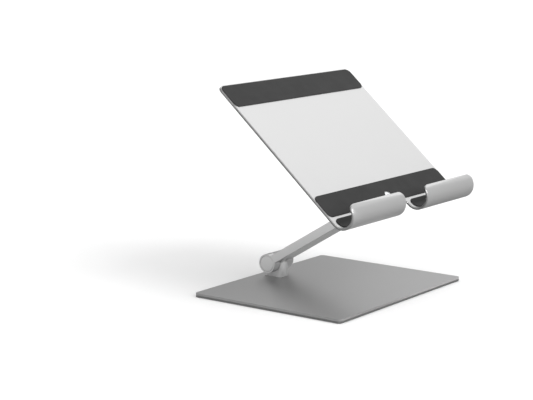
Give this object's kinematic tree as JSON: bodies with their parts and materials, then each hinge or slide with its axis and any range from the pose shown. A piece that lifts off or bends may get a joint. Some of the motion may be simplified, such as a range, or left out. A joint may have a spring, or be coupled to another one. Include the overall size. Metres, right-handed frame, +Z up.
{
  "type": "tablet stand",
  "caption": "Folding desk stand: flat base plate, hinged flat arm, and a sloped tray whose lower edge curls into hooks that hold a tablet.",
  "frame": {"origin": "centre of the anti-slip mat's underside, on the desk", "axes": "+Z up, the user sits at -Y and sees +X on the right; the tray slopes up towards +Y and its hooks face -Y"},
  "size_m": [0.172, 0.1472, 0.1656],
  "materials": {
    "aluminium": "bead-blasted, silver anodised, satin",
    "steel": "turned, bright",
    "bronze": "sintered bronze, oiled",
    "rubber": "dark grey silicone, matt",
    "nylon": "natural nylon"
  },
  "bodies": {
    "base": {"base_plate": "aluminium", "base_mat": "rubber", "foot_block": "aluminium", "foot_screw_front": "steel", "foot_screw_back": "steel", "lower_bush": "bronze"},
    "arm": {"arm": "aluminium", "lower_pin": "steel", "lower_friction_washer_left": "nylon", "lower_friction_washer_right": "nylon", "lower_spring_washer_inner": "steel", "lower_spring_washer_outer": "steel", "lower_nut": "steel", "lower_cap_left": "aluminium", "lower_cap_right": "aluminium", "upper_pin": "steel", "upper_friction_washer_left": "nylon", "upper_friction_washer_right": "nylon", "upper_spring_washer_inner": "steel", "upper_spring_washer_outer": "steel", "upper_nut": "steel", "upper_cap_left": "aluminium", "upper_cap_right": "aluminium"},
    "tray": {"tray": "aluminium", "bracket": "aluminium", "bracket_screw_centre": "steel", "bracket_screw_left": "steel", "bracket_screw_right": "steel", "upper_bush": "bronze", "upper_pad": "rubber", "lower_pad": "rubber", "liner_left": "rubber", "liner_right": "rubber"}
  },
  "joints": [
    {"name": "arm_tilt", "type": "hinge", "parent": "base", "child": "arm", "pos_m": [0, 0.0532, 0.01542], "axis": [1, 0, 0], "range_deg": [-43, 20]},
    {"name": "tray_tilt", "type": "hinge", "parent": "arm", "child": "tray", "pos_m": [0, -0.04233, 0.0735], "axis": [-1, 0, 0], "range_deg": [-45, 72]}
  ]
}
